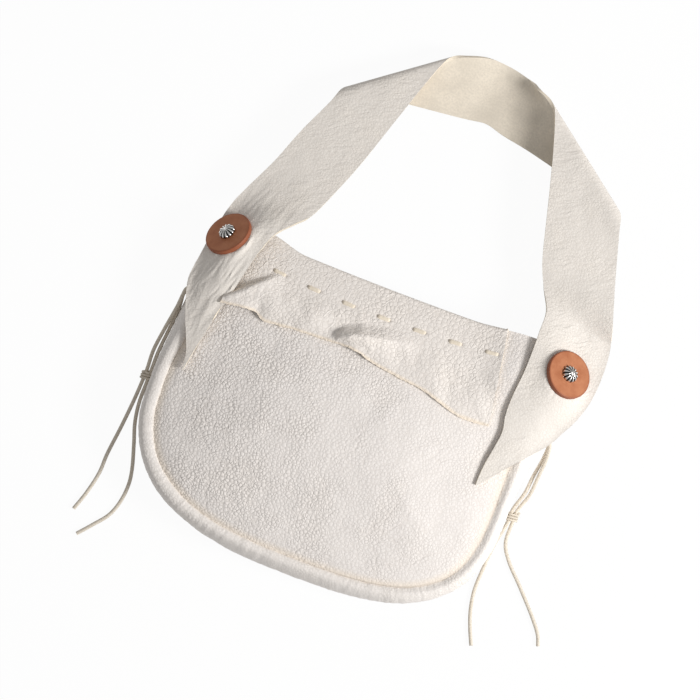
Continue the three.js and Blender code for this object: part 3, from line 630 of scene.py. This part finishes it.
def drape_line(sign, y):
    """The taut line over gusset roll and front panel that the strap follows across the bag at one height."""
    if (sign, y) not in drapes:
        station = side_station(sign, min(y, mouth_y))
        lift = leather / 2 + strap_rest + strap_leather / 2
        section = gusset_section(station, 24)
        points = []
        for a, b, c in zip(section, section[1:], section[2:]):
            size = math.dist(a, c)
            across, rise = (c[1] - a[1]) / size, -(c[0] - a[0]) / size
            if rise > 0:
                points.append((b[0] + across * lift, b[1] + rise * lift))
        for k in range(1, 16):
            out = station["lip"] - 4 * k
            points.append((out, panel_z(station["x"] + sign * out, y) + lift))
        hull = []
        for p in sorted(points):
            while len(hull) > 1 and ((hull[-1][0] - hull[-2][0]) * (p[1] - hull[-1][1])
                                     >= (hull[-1][1] - hull[-2][1]) * (p[0] - hull[-1][0])):
                hull.pop()
            hull.append(p)
        steepest = steepest_side[sign]
        while len(hull) > 2 and hull[-2][1] - hull[-1][1] > steepest * (hull[-1][0] - hull[-2][0]):
            hull.pop()
        end = hull[-1]
        hull.append((end[0] + reach_past_side, end[1] - reach_past_side * steepest))
        drapes[(sign, y)] = np.array(hull)
    return drapes[(sign, y)]


def drape_z(x, y):
    """Height of the strap's middle layer where it lies on the bag."""
    sign = -1 if x < 0 else 1
    out = sign * x - seam_half
    low = math.floor(y)
    heights = [float(np.interp(out, *drape_line(sign, step).T)) for step in (low, low + 1)]
    return lerp(*heights, y - low)


left_corner, right_corner, bow_centre = (-body_width / 2, mouth_y), (body_width / 2, mouth_y), (0, mouth_y)


def draped_rows(corner, rows):
    """Rows across the strap by outer and inner edge, lying on the bag."""
    return [[(ox + corner[0], oy + corner[1], None), (ix + corner[0], iy + corner[1], None)]
            for ox, oy, ix, iy in rows]


def free_rows(corner, rows):
    """Rows across the strap by outer and inner edge, at heights of their own."""
    return [[(ox + corner[0], oy + corner[1], oz), (ix + corner[0], iy + corner[1], iz)]
            for ox, oy, oz, ix, iy, iz in rows]


def fold_rows(corner, outer, inner, toward_inner):
    """Half a turn round a thick line from the outer to the inner edge."""
    outer = Vector((outer[0] + corner[0], outer[1] + corner[1], outer[2]))
    inner = Vector((inner[0] + corner[0], inner[1] + corner[1], inner[2]))
    along = inner - outer
    along.z = 0
    along.normalize()
    away = Vector((-along.y, along.x, 0)) * (1 if along.x > 0 else -1)
    rows = []
    for k in range(fold_steps + 1):
        turn = math.pi * (0.5 - k / fold_steps) * toward_inner
        row = []
        for edge, radius in ((outer, fold_radius_outer), (inner, fold_radius_inner)):
            point = edge - away * radius * (1 - math.cos(turn)) - along * fold_shear * turn / (math.pi / 2)
            row.append((point.x, point.y, edge.z + radius * math.sin(turn)))
        rows.append(row)
    return rows


strap_rows = [
    *draped_rows(left_corner, [
        (22.4, -118, 23.4, -116.5), (20.7, -105, 25.8, -101), (15.5, -92, 29.2, -84), (11.2, -82, 32.7, -64),
        (3.2, -59.4, 37.2, -48), (1, -46, 39.5, -38), (3, -32, 42.5, -24), (5.4, -15, 47, -8), (8, 4, 52, 5),
    ]),
    *free_rows(left_corner, [
        (12, 19, 28, 63, 18, 38.5), (17, 31, 27.5, 72, 28, 32), (31.5, 62.5, 27.5, 85.3, 58, 26),
        (43, 94.5, 26, 97, 89, 25),
    ]),
    *fold_rows(left_corner, (62, 134, 19), (133, 187, 17), 1),
    *free_rows(bow_centre, [
        (-38, 140, 9, 7, 197, 9), (-6, 144, 4, 18, 197.4, 5), (14, 146.5, 2.4, 27, 196.6, 3),
        (26, 149, 3, 34, 195.4, 3.4), (38, 144, 3, 41, 193.6, 5), (66, 140, 5, 49, 190.5, 12),
    ]),
    *fold_rows(right_corner, (-6, 120, 29), (-86, 181, 25), -1),
    *free_rows(right_corner, [
        (7, 84, 33, -59, 108, 33), (13.4, 62, 31.5, -47, 62, 32), (21, 38, 36, -38, 42, 29),
        (27, 20, 27, -30, 26, 35),
    ]),
    *draped_rows(right_corner, [
        (29.3, 5, -29.5, 9), (29.5, -10, -29.5, -8), (27.5, -28, -30, -25), (22, -46, -31.5, -42),
        (15.4, -59, -31.5, -60), (9.7, -70, -29, -74), (-2, -84, -30.5, -88), (-16, -100, -33, -103),
        (-29, -115.5, -33.7, -116), (-32.6, -119.6, -33.6, -119.8),
    ]),
]
strap_lines = []
for c in range(strap_columns + 1):
    share = c / strap_columns
    knots = []
    for outer, inner in strap_rows:
        x, y = lerp(outer[0], inner[0], share), lerp(outer[1], inner[1], share)
        knots.append((x, y, drape_z(x, y) if outer[2] is None else lerp(outer[2], inner[2], share)))
    strap_lines.append(catmull_rom(knots, curve_steps))
strap_steps = len(strap_lines[0]) - 1
smoothing_passes = 16
for _ in range(smoothing_passes):
    for line in strap_lines:
        for before, p, after in zip(line, line[1:], line[2:]):
            p[:] = p.lerp((before + after) / 2, 0.6 * smoothstep(p.y, mouth_y + 50, mouth_y + 110))
rosette_rim = 19


def leaning(sign, lean, turn):
    """A direction that leans from upright by so many degrees, turned from the bag's side toward its mouth."""
    lean, turn = math.radians(lean), math.radians(turn)
    return Vector((sign * math.cos(turn) * math.sin(lean), math.sin(turn) * math.sin(lean), math.cos(lean)))


screw_axes = {"left": leaning(-1, 53, 35), "right": leaning(1, 33, 46)}
rosette_axes = {"left": leaning(-1, 45, 35), "right": leaning(1, 33, 46)}


def cad_base(node, axis):
    """Middle of a turned CAD solid's lower face: its centre across the axis, its lowest point along it."""
    turn_back = axis.rotation_difference(Vector((0, 0, 1)))
    local = np.array([turn_back @ (v.co / MM) for v in bpy.data.objects[node].data.vertices])
    middle = (local.min(axis=0) + local.max(axis=0)) / 2
    return turn_back.inverted() @ Vector((middle[0], middle[1], local[:, 2].min()))


rosette_bases = {side: cad_base(side + "_rosette", axis) for side, axis in screw_axes.items()}
rosette_seats = {side: rosette_bases[side] - axis * (strap_leather / 2 + gap) for side, axis in rosette_axes.items()}


def under_rosette(p):
    """Distance from the nearest rosette's middle along its plane, and that plane's height, at a point."""
    found = []
    for side, axis in rosette_axes.items():
        seat = rosette_seats[side]
        plane_z = seat.z - (axis.x * (p.x - seat.x) + axis.y * (p.y - seat.y)) / axis.z
        found.append(((Vector((p.x, p.y, plane_z)) - seat).length, plane_z))
    return min(found)


draped_to_y = mouth_y + 2 * strap_leather
left_slack_y, right_slack_y = mouth_y + 45, mouth_y + 20
rosette_hold, rosette_fade = 1, 34
rest_passes, first_passes, nowhere = 260, 30, -100
rests_on = np.array([[drape_z(p.x, p.y) if p.y < draped_to_y else nowhere for p in line] for line in strap_lines])
from_rosette = np.array([[under_rosette(p) for p in line] for line in strap_lines])
held = from_rosette[:, :, 0] < rosette_rim + rosette_hold
near = np.array([[p.y < (left_slack_y if p.x < 0 else right_slack_y) for p in line] for line in strap_lines])
heights = np.array([[p.z for p in line] for line in strap_lines])
fade = np.clip((from_rosette[:, :, 0] - rosette_rim) / rosette_fade, 0, 1)
heights = from_rosette[:, :, 1] * (1 - fade) + heights * fade
for step in range(rest_passes):
    ringed = np.pad(heights, 1, mode="edge")
    mean = (ringed[:-2, 1:-1] + ringed[2:, 1:-1] + ringed[1:-1, :-2] + ringed[1:-1, 2:]) / 4
    loose = ~held if step < first_passes else near & ~held
    loose[:, 0] = loose[:, -1] = False
    heights = np.where(loose, np.maximum(heights * 0.3 + mean * 0.7, rests_on), heights)
for line, column in zip(strap_lines, heights):
    for p, z in zip(line, column):
        p.z = float(z)


def strap_place(column, row):
    """The strap's rest shape, softly rumpled and drawn into creases beside the left rosette."""
    p = strap_lines[column][row]
    ends = smoothstep(row, 4, 20) * (1 - smoothstep(row, strap_steps - 20, strap_steps - 4))
    rumple = 0.5 * noise.noise((p.x / 22, p.y / 26, p.z / 22 + 4)) + 0.2 * noise.noise((p.x / 8, p.y / 10, p.z / 9))
    pulled = hump(p.x, -124, 24) * hump(p.y, 72, 30) + 0.5 * hump(p.x, -105, 26) * hump(p.y, 140, 26)
    along, across = p.x * 0.3 + p.y * 0.95, p.x * 0.95 - p.y * 0.3
    crease = 1 - abs(noise.noise((along / 24, across / 4.6, 3)))
    rumple += pulled * 1.5 * (crease ** 3 - 0.5)
    taut = 0.55 * smoothstep(p.x, 60, 110) * (1 - smoothstep(p.y, 125, 165))
    return p.x, p.y, p.z + max(0, rumple + 0.35) * ends * (1 - taut)


strap = grid_piece("strap_leather", strap_columns, strap_steps, strap_place)
close_up(strap, lambda at: Vector((0, 0, 1 if at.y < 0.2 else 0)))
finish_sheet(strap, strap_leather, strap_grain, "strap")

# Mouth facing: a flap of softer leather folded over the front panel's mouth edge, grain side out.
# Its lower edge is left raw and lies in waves; at the left its corner lies on the strap.
facing_left, facing_right, facing_inside = -108, 97.5, 36
facing_lift = leather / 2 + gap + facing_leather / 2
facing_lower_edge = [
    (-118.7, 58.8), (-92.5, 55.8), (-81.7, 60.3), (-56, 58), (-31.8, 56.9), (-11.7, 56),
    (10.8, 61), (32, 64), (53.7, 66.6), (84.4, 75.3), (109.6, 74.2),
]
facing_grain = pebbled_leather("facing_grain", 3.2, 0.3, -0.6, (0.86, 0.815, 0.78), creases_per_metre=130)
inside_steps, turn_steps, outside_steps, facing_columns = 8, 8, 56, 170
stitch_count, first_stitch_x, stitch_pitch, stitch_length, stitch_drop = 7, -84, 29.3, 10, 25


def stitch_y(x):
    return mouth_y - stitch_drop + 5.5 * (x / facing_right) ** 2


stitch_middles = [first_stitch_x + i * stitch_pitch for i in range(stitch_count)]
stitch_ends = [x + half * stitch_length for x in stitch_middles for half in (-0.5, 0.5)]
stitch_holes = [(x, stitch_y(x)) for x in stitch_ends]


def from_hole(x, y):
    return min(math.hypot(x - hole_x, y - hole_y) for hole_x, hole_y in stitch_holes)


def facing_z(x, y, down):
    """The facing's height: flat to the stitches, then bulging, tucked in its middle, and down at its raw edge.
    Its left end is folded over along a slanting line, and the corner lies on the strap."""
    lower = smoothstep(down, 0.42, 0.72)
    at_edge = smoothstep(down, 0.8, 1)
    swell = 3.4 * hump(x, -78, 20) + 2.6 * hump(x, -47, 13)
    past_tuck = float(np.interp(x, (-44, -33, -22, -9, 17, 50), (46, 62, 79, 85, 90, 92))) - y
    puff = 10 * min(1, max(0, past_tuck + 1) / 10) ** 1.5 * math.exp(-max(0, past_tuck - 9) / 15)
    puff *= 1 - smoothstep(x, -16, 42)
    ridge_turn = math.atan2(y - 64, x + 34)
    puff += 0.9 * noise.noise((ridge_turn * 5, 2, past_tuck / 30)) * smoothstep(past_tuck, 3, 12) * hump(x, -4, 26)
    swell += 1.2 * hump(x, 52, 14) + 1.6 * hump(x, 90, 16)
    swell = swell * lower + puff * smoothstep(down, 0.36, 0.5)
    edge = -0.4 + 3.4 * hump(x, -8, 11) + 3 * hump(x, -104, 13) + 1.0 * hump(x, 62, 9)
    from_x, from_y = x + 84, y - 99
    past_fold, along_fold = from_x * 0.686 - from_y * 0.728, -from_x * 0.728 - from_y * 0.686
    flap = smoothstep(past_fold, -1, 2) * smoothstep(along_fold, -5, 8)
    corner = (2 + 4.5 * smoothstep(along_fold, 0, 30)) * flap * math.exp(-max(0, past_fold - 3) / 13)
    lift = facing_lift + gap + lerp(swell, edge, at_edge) + corner
    lift -= 0.7 * hump(from_hole(x, y), 0, 1.7)
    lift -= 0.25 * hump(y, stitch_y(x), 2.6) * (1 - smoothstep(abs(x), 84, 92))
    flat = panel_z(x, y) + lift
    over_strap = drape_z(x, y) + strap_leather / 2 + 2 * gap + facing_leather / 2 + 2.5
    return max(flat, lerp(flat, over_strap, smoothstep(-x, 88, 108) * flap))


def facing_place(column, row):
    """Rows run up inside the bag, round the panel's mouth edge and down its outside."""
    share = column / facing_columns
    x = lerp(facing_left, facing_right, share)
    if row < inside_steps:
        y = mouth_line(x) - facing_inside * (1 - row / inside_steps)
        return x, y, panel_z(x, y) - facing_lift - gap
    if row < inside_steps + turn_steps:
        angle = math.pi * ((row - inside_steps) / turn_steps - 0.5)
        y = mouth_line(x)
        z = panel_z(x, y) + (facing_lift + gap) * math.sin(angle)
        return x, y + facing_lift * math.cos(angle), z
    down = (row - inside_steps - turn_steps) / outside_steps
    low_x, low_drop = spline_point(facing_lower_edge, share)
    x = lerp(x, low_x, down)
    ragged = 0.7 * noise.noise((low_x / 1.9, 3, 1)) + 0.7 * noise.noise((low_x / 7, 9, 2))
    y = lerp(mouth_line(x), mouth_y - low_drop + ragged, down)
    crumple = max(0, 0.7 * noise.noise(((x + 0.9 * y) / 12, (y - 0.9 * x) / 30, 4)) + 0.2)
    crumple += max(0, 0.25 * noise.noise(((x + 0.5 * y) / 5, (y - 0.5 * x) / 14, 9)))
    below_stitches = smoothstep(down, 0.4, 0.55) * (1 - 0.8 * smoothstep(down, 0.9, 1))
    above_stitches = 0.35 * smoothstep(down, 0.04, 0.2) * (1 - smoothstep(down, 0.24, 0.3))
    return x, y, facing_z(x, y, down) + crumple * max(below_stitches, above_stitches)


facing = grid_piece("mouth_facing_leather", facing_columns, inside_steps + turn_steps + outside_steps, facing_place)
close_up(facing, lambda at: Vector((0, 0, 1 if at.z > panel_z(at.x / MM, at.y / MM) * MM else -1)))
warm = facing.data.attributes.new("warm", "FLOAT", "POINT")
painted_shade = facing.data.attributes.new("painted_shade", "FLOAT", "POINT")
for vertex in facing.data.vertices:
    x, y, z = vertex.co / MM
    to_edge = y - (mouth_y - np.interp(x, *np.array(facing_lower_edge).T))
    warm.data[vertex.index].value = 0.08 + 0.8 * (1 - smoothstep(to_edge, 0.8, 3.2))
    # Round each stitch hole on the outside the leather is painted deep brown: painted shade in the hole.
    if z > panel_z(x, y):
        painted_shade.data[vertex.index].value = 0.85 * hump(from_hole(x, y), 0, 1.1)
finish_sheet(facing, facing_leather, facing_grain, "mouth_facing")

# Facing lacing: one flat lace of the same hide sewn as a running stitch through facing and panel.
# Only its seven short upper bits show; between them it runs inside the bag.
stitch_width, stitch_thickness, stitch_crown = 2.3, 1.2, 0.5
lacing_rows = 6


def stitch_line():
    """The lace's middle line, in and out of the holes; the share says how far it is outside."""
    clear = stitch_thickness / 2 + facing_leather / 2 - 3 * gap
    bend = stitch_thickness * 1.6
    line = []
    for rise, dive in zip(stitch_ends[::2], stitch_ends[1::2]):
        for x, share in ((rise - bend * 1.6, 0), (rise - bend * 0.5, 0.04), (rise, 0.3), (rise, 0.7),
                         (rise + bend * 0.5, 0.96), (rise + bend * 1.6, 1), (dive - bend * 1.6, 1),
                         (dive - bend * 0.5, 0.96), (dive, 0.7), (dive, 0.3), (dive + bend * 0.5, 0.04),
                         (dive + bend * 1.6, 0)):
            y = stitch_y(x)
            flat = panel_z(x, y)
            line.append((x, y, lerp(flat - facing_lift - clear, flat + facing_lift + gap + clear, share)))
    return catmull_rom(line, 3)


lacing_line = stitch_line()


def lacing_place(column, row):
    p = lacing_line[column]
    side = row / lacing_rows - 0.5
    wander = 0.3 * noise.noise((p.x / 3, 2, 6))
    return p.x, p.y + stitch_width * side + wander, p.z + stitch_crown * (1 - (2 * side) ** 2)


lacing = grid_piece("facing_lacing_strip", len(lacing_line) - 1, lacing_rows, lacing_place)
close_up(lacing, lambda at: Vector((0, 0, 1)))
finish_sheet(lacing, stitch_thickness, cut_edge, "facing_lacing")

# Rosettes: two washers punched from thick tan leather, their upper edges rounded and burnished darker.
# Each is held on the strap by the conch's screw, which goes through its middle.
tan_leather, tree, shader, place = new_finish("tan_leather", (0.47, 0.19, 0.095), 0.5, 0.35)
tan_tone = two_tone(tree, mottle(tree, place, 130, 6), 0.32, (0.42, 0.147, 0.064), 0.68, (0.52, 0.207, 0.1))
burnish = add_node(tree, "ShaderNodeAttribute", {}, attribute_name="burnish").outputs["Fac"]
tree.links.new(blended(tree, burnish, tan_tone, (0.26, 0.07, 0.032)), shader.inputs["Base Color"])
roughen(tree, shader, mottle(tree, place, 1500, 3), 0.3, 0.2)

bore_radius, rosette_thickness, rosette_turns = 2.3, 4, 96
lower_round, upper_round = 0.5, 0.9


def turned_piece(name, profile, turns, base, axis, shape=None):
    """A profile of (radius, height) spun round an axis; shape may move each point."""
    stand = Vector((0, 0, 1)).rotation_difference(axis)

    def turned_place(column, row):
        radius, height = profile[row]
        angle = 2 * math.pi * (column % turns) / turns
        if shape:
            radius, height = shape(radius, height, angle)
        return base + stand @ Vector((radius * math.cos(angle), radius * math.sin(angle), height))
    piece = grid_piece(name, turns, len(profile) - 1, turned_place)
    close_up(piece, lambda at: (at / MM - base - axis * 2).normalized())
    return piece


rosette_profile = [(bore_radius, 0), (rosette_rim - lower_round, 0)]
rosette_profile += [(rosette_rim - lower_round * (1 - math.sin(a)), lower_round * (1 - math.cos(a)))
                    for a in np.linspace(0.4, math.pi / 2, 4)]
rosette_profile += [(rosette_rim - upper_round * (1 - math.cos(a)), rosette_thickness - upper_round * (1 - math.sin(a)))
                    for a in np.linspace(0, math.pi / 2, 6)]
rosette_profile += [(r, rosette_thickness) for r in (17.4, 16.4, 13, 9.5, 7.4, 6.6, 5, bore_radius)]
rosette_profile.append((bore_radius, 0))
for side, axis in rosette_axes.items():
    base = rosette_bases[side]
    rosette = turned_piece(side + "_rosette_leather", rosette_profile, rosette_turns, base, axis)
    burnish_share = rosette.data.attributes.new("burnish", "FLOAT", "POINT")
    for vertex in rosette.data.vertices:
        offset = vertex.co / MM - base
        height = offset.dot(axis)
        radius = (offset - axis * height).length
        under = 0.5 if height < 3 and radius > 15 else 0
        burnish_share.data[vertex.index].value = max(under, 0.75 * smoothstep(radius, 17.2, 18.8))
    rosette.data.materials.append(tan_leather)
    bpy.ops.object.shade_smooth_by_angle(angle=math.radians(50))
    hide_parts(side + "_rosette")
    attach(rosette, "root")

# Conches: small cast silver buttons with flutes from the middle to a scalloped rim, dark in the grooves.
# Each takes the end of a steel screw that comes from inside the bag through gusset, strap and rosette.
conch_radius, conch_height, conch_rim, conch_turns = 6.7, 4.5, 0.75, 144
conch_flutes, flute_depth, scallop_depth = 12, 1.0, 0.45
silver, tree, shader, place = new_finish("old_silver", (0.86, 0.85, 0.83), 0.2)
shader.inputs["Metallic"].default_value = 1
groove_shade = add_node(tree, "ShaderNodeAttribute", {}, attribute_name="groove").outputs["Fac"]
tarnish = blended(tree, groove_shade, (0.90, 0.89, 0.87), (0.02, 0.02, 0.02))
tree.links.new(tarnish, shader.inputs["Base Color"])
scuff = add_node(tree, "ShaderNodeMapRange", {"Value": mottle(tree, place, 1800), "To Min": 0.14, "To Max": 0.34})
tree.links.new(scuff.outputs["Result"], shader.inputs["Roughness"])


def groove_at(radius, angle):
    """How deep in a groove between two flutes a place is, from none to one."""
    wave = 0.5 - 0.5 * math.cos(conch_flutes * angle)
    return wave ** 1.5 * smoothstep(radius, 0.8, 2.6)


def flute(radius, height, angle):
    if height < 0.6:
        return radius, height
    groove = groove_at(radius, angle)
    return radius - scallop_depth * groove * smoothstep(radius, 5, 6.2), height - flute_depth * groove


conch_profile = [(0, 0.05), (conch_radius - 0.5, 0.05), (conch_radius - 0.15, 0.3), (conch_radius, conch_rim)]
conch_profile += [(conch_radius * math.sin(a), conch_rim + (conch_height - conch_rim) * math.cos(a))
                  for a in np.linspace(1.45, 0, 16)]
for side, axis in rosette_axes.items():
    base = rosette_bases[side] + axis * (cad_base(side + "_conch", screw_axes[side]) - rosette_bases[side]).length
    conch = turned_piece(side + "_conch_silver", conch_profile, conch_turns, base, axis, flute)
    groove_share = conch.data.attributes.new("groove", "FLOAT", "POINT")
    stand_back = axis.rotation_difference(Vector((0, 0, 1)))
    for vertex in conch.data.vertices:
        local = stand_back @ (vertex.co / MM - base)
        groove = groove_at(math.hypot(local.x, local.y), math.atan2(local.y, local.x))
        groove_share.data[vertex.index].value = smoothstep(groove, 0.15, 0.65)
    conch.data.materials.append(silver)
    bpy.ops.object.shade_smooth_by_angle(angle=math.radians(60))
    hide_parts(side + "_conch")
    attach(conch, "root")
    screw = bpy.data.objects[side + "_conch_screw"]
    screw.data.materials.clear()
    screw.data.materials.append(silver)
